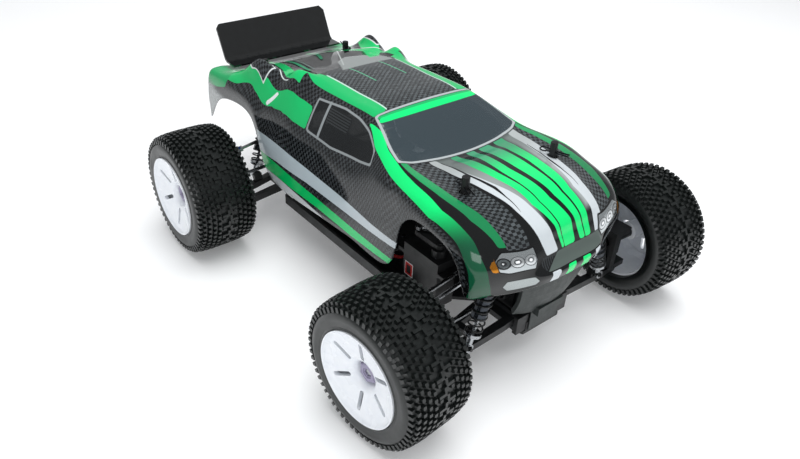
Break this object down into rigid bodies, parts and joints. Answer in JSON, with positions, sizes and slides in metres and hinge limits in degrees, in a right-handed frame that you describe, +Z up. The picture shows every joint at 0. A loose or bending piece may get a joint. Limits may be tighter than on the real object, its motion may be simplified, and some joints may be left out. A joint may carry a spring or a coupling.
{
  "type": "rc monster truck",
  "caption": "Radio-controlled stadium truck with a painted lift-off shell and wing, sprung parallel-arm suspension, bell-crank steering and driven gears.",
  "frame": {"origin": "on the ground under the middle of the bounding box", "axes": "+X forward, +Y to the truck's left, +Z up"},
  "size_m": [0.4341, 0.3424, 0.1675],
  "materials": {
    "painted_shell": "clear polycarbonate painted inside, green over a dark weave with pale stripes",
    "wing_plastic": "gloss black moulded",
    "composite": "satin black filled plastic",
    "bumper_plastic": "satin dark grey moulded",
    "battery_wrap": "shrink wrapped",
    "motor_can": "plated steel can",
    "electronics_case": "moulded cases",
    "rim_plastic": "white moulded nylon",
    "tyre_rubber": "soft rubber with small square pins",
    "gear_plastic": "natural moulded acetal",
    "steel": "turned steel",
    "anodised_alloy": "dark anodised",
    "nylon": "black moulded nylon"
  },
  "bodies": {
    "chassis": {"chassis_plate": "composite", "side_guard_left": "composite", "side_guard_right": "composite", "front_bumper": "bumper_plastic", "front_gearbox": "nylon", "rear_gearbox": "nylon", "front_shock_tower": "composite", "rear_shock_tower": "composite", "battery_pack": "battery_wrap", "electric_motor": "motor_can", "receiver_esc_unit": "electronics_case", "steering_servo": "electronics_case", "front_body_mount": "nylon", "rear_body_mount": "nylon"},
    "shell": {"body_shell": "painted_shell", "rear_wing": "wing_plastic"},
    "drive_line": {"center_drive_shaft": "steel", "spur_gear": "gear_plastic"},
    "pinion": {"pinion_gear": "steel"},
    "crank_left": {"bell_crank_left": "nylon"},
    "crank_right": {"bell_crank_right": "nylon"},
    "drag_link": {"drag_link": "nylon"},
    "servo_horn": {"servo_horn": "nylon"},
    "servo_link": {"servo_link": "steel"},
    "tie_rod_left": {"tie_rod_left": "steel"},
    "tie_rod_right": {"tie_rod_right": "steel"},
    "lower_arm_front_left": {"lower_arm_front_left": "nylon"},
    "upper_link_front_left": {"upper_link_front_left": "steel"},
    "c_hub_left": {"c_hub_left": "nylon"},
    "knuckle_left": {"steering_knuckle_left": "nylon"},
    "wheel_front_left": {"rim_front_left": "rim_plastic", "tyre_front_left": "tyre_rubber"},
    "drive_shaft_front_left": {"drive_shaft_front_left": "steel"},
    "shock_body_front_left": {"shock_body_front_left": "anodised_alloy"},
    "shock_rod_front_left": {"shock_rod_front_left": "steel"},
    "lower_arm_front_right": {"lower_arm_front_right": "nylon"},
    "upper_link_front_right": {"upper_link_front_right": "steel"},
    "c_hub_right": {"c_hub_right": "nylon"},
    "knuckle_right": {"steering_knuckle_right": "nylon"},
    "wheel_front_right": {"rim_front_right": "rim_plastic", "tyre_front_right": "tyre_rubber"},
    "drive_shaft_front_right": {"drive_shaft_front_right": "steel"},
    "shock_body_front_right": {"shock_body_front_right": "anodised_alloy"},
    "shock_rod_front_right": {"shock_rod_front_right": "steel"},
    "lower_arm_rear_left": {"lower_arm_rear_left": "nylon"},
    "upper_link_rear_left": {"upper_link_rear_left": "steel"},
    "rear_hub_left": {"rear_hub_left": "nylon"},
    "wheel_rear_left": {"rim_rear_left": "rim_plastic", "tyre_rear_left": "tyre_rubber"},
    "drive_shaft_rear_left": {"drive_shaft_rear_left": "steel"},
    "shock_body_rear_left": {"shock_body_rear_left": "anodised_alloy"},
    "shock_rod_rear_left": {"shock_rod_rear_left": "steel"},
    "lower_arm_rear_right": {"lower_arm_rear_right": "nylon"},
    "upper_link_rear_right": {"upper_link_rear_right": "steel"},
    "rear_hub_right": {"rear_hub_right": "nylon"},
    "wheel_rear_right": {"rim_rear_right": "rim_plastic", "tyre_rear_right": "tyre_rubber"},
    "drive_shaft_rear_right": {"drive_shaft_rear_right": "steel"},
    "shock_body_rear_right": {"shock_body_rear_right": "anodised_alloy"},
    "shock_rod_rear_right": {"shock_rod_rear_right": "steel"}
  },
  "joints": [
    {"name": "shell_lift", "type": "slide", "parent": "chassis", "child": "shell", "axis": [0, 0, 1], "range_m": [0, 0.12]},
    {"name": "drive_line_spin", "type": "hinge", "parent": "chassis", "child": "drive_line", "pos_m": [0.0199, 0, 0.06], "axis": [1, 0, 0], "continuous": true},
    {"name": "pinion_spin", "type": "hinge", "parent": "chassis", "child": "pinion", "pos_m": [-0.0751, -0.03, 0.052], "axis": [1, 0, 0], "continuous": true},
    {"name": "lower_arm_front_left_swing", "type": "hinge", "parent": "chassis", "child": "lower_arm_front_left", "pos_m": [0.1574, 0.024, 0.044], "axis": [1, 0, 0], "range_deg": [-12, 9.5], "stiffness_Nm_per_rad": 3, "springref_deg": -8.02},
    {"name": "upper_link_front_left_swing", "type": "hinge", "parent": "chassis", "child": "upper_link_front_left", "pos_m": [0.1539, 0.024, 0.094], "axis": [1, 0, 0], "range_deg": [-12.5, 10]},
    {"name": "c_hub_left_pivot", "type": "hinge", "parent": "lower_arm_front_left", "child": "c_hub_left", "pos_m": [0.1574, 0.108, 0.03], "axis": [1, 0, 0], "range_deg": [-10, 12.5]},
    {"name": "steer_left", "type": "hinge", "parent": "c_hub_left", "child": "knuckle_left", "pos_m": [0.1574, 0.108, 0.056], "axis": [0, 0, 1], "range_deg": [-21, 21]},
    {"name": "wheel_front_left_spin", "type": "hinge", "parent": "knuckle_left", "child": "wheel_front_left", "pos_m": [0.1574, 0.108, 0.056], "axis": [0.0785, 0.9969, 0], "continuous": true},
    {"name": "drive_shaft_front_left_swing", "type": "hinge", "parent": "chassis", "child": "drive_shaft_front_left", "pos_m": [0.1574, 0.024, 0.06], "axis": [1, 0, 0], "range_deg": [-13.5, 12.5]},
    {"name": "shock_body_front_left_swing", "type": "hinge", "parent": "chassis", "child": "shock_body_front_left", "pos_m": [0.1734, 0.057, 0.104], "axis": [1, 0, 0], "range_deg": [-4, 4]},
    {"name": "shock_rod_front_left_slide", "type": "slide", "parent": "shock_body_front_left", "child": "shock_rod_front_left", "axis": [0, 0.283, -0.9591], "range_m": [-0.0105, 0.0115]},
    {"name": "lower_arm_front_right_swing", "type": "hinge", "parent": "chassis", "child": "lower_arm_front_right", "pos_m": [0.1574, -0.024, 0.044], "axis": [-1, 0, 0], "range_deg": [-12, 9.5], "stiffness_Nm_per_rad": 3, "springref_deg": -8.02},
    {"name": "upper_link_front_right_swing", "type": "hinge", "parent": "chassis", "child": "upper_link_front_right", "pos_m": [0.1539, -0.024, 0.094], "axis": [-1, 0, 0], "range_deg": [-12.5, 10]},
    {"name": "c_hub_right_pivot", "type": "hinge", "parent": "lower_arm_front_right", "child": "c_hub_right", "pos_m": [0.1574, -0.108, 0.03], "axis": [-1, 0, 0], "range_deg": [-10, 12.5]},
    {"name": "steer_right", "type": "hinge", "parent": "c_hub_right", "child": "knuckle_right", "pos_m": [0.1574, -0.108, 0.056], "axis": [0, 0, 1], "range_deg": [-21.5, 21.5]},
    {"name": "wheel_front_right_spin", "type": "hinge", "parent": "knuckle_right", "child": "wheel_front_right", "pos_m": [0.1574, -0.108, 0.056], "axis": [-0.0785, 0.9969, 0], "continuous": true},
    {"name": "drive_shaft_front_right_swing", "type": "hinge", "parent": "chassis", "child": "drive_shaft_front_right", "pos_m": [0.1574, -0.024, 0.06], "axis": [-1, 0, 0], "range_deg": [-13.5, 12.5]},
    {"name": "shock_body_front_right_swing", "type": "hinge", "parent": "chassis", "child": "shock_body_front_right", "pos_m": [0.1734, -0.057, 0.104], "axis": [-1, 0, 0], "range_deg": [-4, 4]},
    {"name": "shock_rod_front_right_slide", "type": "slide", "parent": "shock_body_front_right", "child": "shock_rod_front_right", "axis": [0, -0.283, -0.9591], "range_m": [-0.0105, 0.0115]},
    {"name": "lower_arm_rear_left_swing", "type": "hinge", "parent": "chassis", "child": "lower_arm_rear_left", "pos_m": [-0.1176, 0.024, 0.044], "axis": [1, 0, 0], "range_deg": [-12, 9.5], "stiffness_Nm_per_rad": 3, "springref_deg": -8.02},
    {"name": "upper_link_rear_left_swing", "type": "hinge", "parent": "chassis", "child": "upper_link_rear_left", "pos_m": [-0.12, 0.024, 0.094], "axis": [1, 0, 0], "range_deg": [-12.5, 10]},
    {"name": "rear_hub_left_pivot", "type": "hinge", "parent": "lower_arm_rear_left", "child": "rear_hub_left", "pos_m": [-0.1176, 0.108, 0.03], "axis": [1, 0, 0], "range_deg": [-10, 12.5]},
    {"name": "wheel_rear_left_spin", "type": "hinge", "parent": "rear_hub_left", "child": "wheel_rear_left", "pos_m": [-0.1176, 0.108, 0.056], "axis": [0, 1, 0], "continuous": true},
    {"name": "drive_shaft_rear_left_swing", "type": "hinge", "parent": "chassis", "child": "drive_shaft_rear_left", "pos_m": [-0.1176, 0.024, 0.06], "axis": [1, 0, 0], "range_deg": [-13.5, 12.5]},
    {"name": "shock_body_rear_left_swing", "type": "hinge", "parent": "chassis", "child": "shock_body_rear_left", "pos_m": [-0.1336, 0.057, 0.104], "axis": [1, 0, 0], "range_deg": [-4, 4]},
    {"name": "shock_rod_rear_left_slide", "type": "slide", "parent": "shock_body_rear_left", "child": "shock_rod_rear_left", "axis": [0, 0.283, -0.9591], "range_m": [-0.0105, 0.0115]},
    {"name": "lower_arm_rear_right_swing", "type": "hinge", "parent": "chassis", "child": "lower_arm_rear_right", "pos_m": [-0.1176, -0.024, 0.044], "axis": [-1, 0, 0], "range_deg": [-12, 9.5], "stiffness_Nm_per_rad": 3, "springref_deg": -8.02},
    {"name": "upper_link_rear_right_swing", "type": "hinge", "parent": "chassis", "child": "upper_link_rear_right", "pos_m": [-0.12, -0.024, 0.094], "axis": [-1, 0, 0], "range_deg": [-12.5, 10]},
    {"name": "rear_hub_right_pivot", "type": "hinge", "parent": "lower_arm_rear_right", "child": "rear_hub_right", "pos_m": [-0.1176, -0.108, 0.03], "axis": [-1, 0, 0], "range_deg": [-10, 12.5]},
    {"name": "wheel_rear_right_spin", "type": "hinge", "parent": "rear_hub_right", "child": "wheel_rear_right", "pos_m": [-0.1176, -0.108, 0.056], "axis": [0, 1, 0], "continuous": true},
    {"name": "drive_shaft_rear_right_swing", "type": "hinge", "parent": "chassis", "child": "drive_shaft_rear_right", "pos_m": [-0.1176, -0.024, 0.06], "axis": [-1, 0, 0], "range_deg": [-13.5, 12.5]},
    {"name": "shock_body_rear_right_swing", "type": "hinge", "parent": "chassis", "child": "shock_body_rear_right", "pos_m": [-0.1336, -0.057, 0.104], "axis": [-1, 0, 0], "range_deg": [-4, 4]},
    {"name": "shock_rod_rear_right_slide", "type": "slide", "parent": "shock_body_rear_right", "child": "shock_rod_rear_right", "axis": [0, -0.283, -0.9591], "range_m": [-0.0105, 0.0115]},
    {"name": "crank_left_swing", "type": "hinge", "parent": "chassis", "child": "crank_left", "pos_m": [0.1574, 0.024, 0.086], "axis": [0, 0, 1], "range_deg": [-21.5, 21.5]},
    {"name": "crank_right_swing", "type": "hinge", "parent": "chassis", "child": "crank_right", "pos_m": [0.1574, -0.024, 0.086], "axis": [0, 0, 1], "range_deg": [-21.5, 21.5]},
    {"name": "drag_link_swing", "type": "hinge", "parent": "crank_left", "child": "drag_link", "pos_m": [0.1334, 0.024, 0.08], "axis": [0, 0, 1], "range_deg": [-21.5, 21.5]},
    {"name": "servo_horn_turn", "type": "hinge", "parent": "chassis", "child": "servo_horn", "pos_m": [0.1099, -0.05, 0.086], "axis": [0, 0, 1], "range_deg": [-21.5, 21.5]},
    {"name": "servo_link_swing", "type": "hinge", "parent": "servo_horn", "child": "servo_link", "pos_m": [0.0859, -0.05, 0.09], "axis": [0, 0, 1], "range_deg": [-21.5, 21.5]},
    {"name": "tie_rod_left_swing", "type": "hinge", "parent": "drag_link", "child": "tie_rod_left", "pos_m": [0.1334, 0.024, 0.08], "axis": [1, 0, 0], "range_deg": [-12.5, 10]},
    {"name": "tie_rod_right_swing", "type": "hinge", "parent": "drag_link", "child": "tie_rod_right", "pos_m": [0.1334, -0.024, 0.08], "axis": [-1, 0, 0], "range_deg": [-12.5, 10]}
  ],
  "couplings": [
    {"joint": "pinion_spin", "follows": "drive_line_spin", "ratio": -3},
    {"joint": "upper_link_front_left_swing", "follows": "lower_arm_front_left_swing", "ratio": 1},
    {"joint": "c_hub_left_pivot", "follows": "lower_arm_front_left_swing", "ratio": -1},
    {"joint": "drive_shaft_front_left_swing", "follows": "lower_arm_front_left_swing", "ratio": 1.0281},
    {"joint": "shock_body_front_left_swing", "follows": "lower_arm_front_left_swing", "ratio": 0.25086},
    {"joint": "shock_rod_front_left_slide", "follows": "lower_arm_front_left_swing", "m_per_rad": -0.048174},
    {"joint": "upper_link_front_right_swing", "follows": "lower_arm_front_right_swing", "ratio": 1},
    {"joint": "c_hub_right_pivot", "follows": "lower_arm_front_right_swing", "ratio": -1},
    {"joint": "steer_right", "follows": "steer_left", "ratio": 1},
    {"joint": "drive_shaft_front_right_swing", "follows": "lower_arm_front_right_swing", "ratio": 1.0281},
    {"joint": "shock_body_front_right_swing", "follows": "lower_arm_front_right_swing", "ratio": 0.25086},
    {"joint": "shock_rod_front_right_slide", "follows": "lower_arm_front_right_swing", "m_per_rad": -0.048174},
    {"joint": "upper_link_rear_left_swing", "follows": "lower_arm_rear_left_swing", "ratio": 1},
    {"joint": "rear_hub_left_pivot", "follows": "lower_arm_rear_left_swing", "ratio": -1},
    {"joint": "drive_shaft_rear_left_swing", "follows": "lower_arm_rear_left_swing", "ratio": 1.0281},
    {"joint": "shock_body_rear_left_swing", "follows": "lower_arm_rear_left_swing", "ratio": 0.25086},
    {"joint": "shock_rod_rear_left_slide", "follows": "lower_arm_rear_left_swing", "m_per_rad": -0.048174},
    {"joint": "upper_link_rear_right_swing", "follows": "lower_arm_rear_right_swing", "ratio": 1},
    {"joint": "rear_hub_right_pivot", "follows": "lower_arm_rear_right_swing", "ratio": -1},
    {"joint": "drive_shaft_rear_right_swing", "follows": "lower_arm_rear_right_swing", "ratio": 1.0281},
    {"joint": "shock_body_rear_right_swing", "follows": "lower_arm_rear_right_swing", "ratio": 0.25086},
    {"joint": "shock_rod_rear_right_slide", "follows": "lower_arm_rear_right_swing", "m_per_rad": -0.048174},
    {"joint": "crank_left_swing", "follows": "steer_left", "ratio": 1},
    {"joint": "crank_right_swing", "follows": "steer_left", "ratio": 1},
    {"joint": "drag_link_swing", "follows": "steer_left", "ratio": -1},
    {"joint": "servo_horn_turn", "follows": "steer_left", "ratio": 1},
    {"joint": "servo_link_swing", "follows": "steer_left", "ratio": -1},
    {"joint": "tie_rod_left_swing", "follows": "lower_arm_front_left_swing", "ratio": 1},
    {"joint": "tie_rod_right_swing", "follows": "lower_arm_front_right_swing", "ratio": 1}
  ]
}
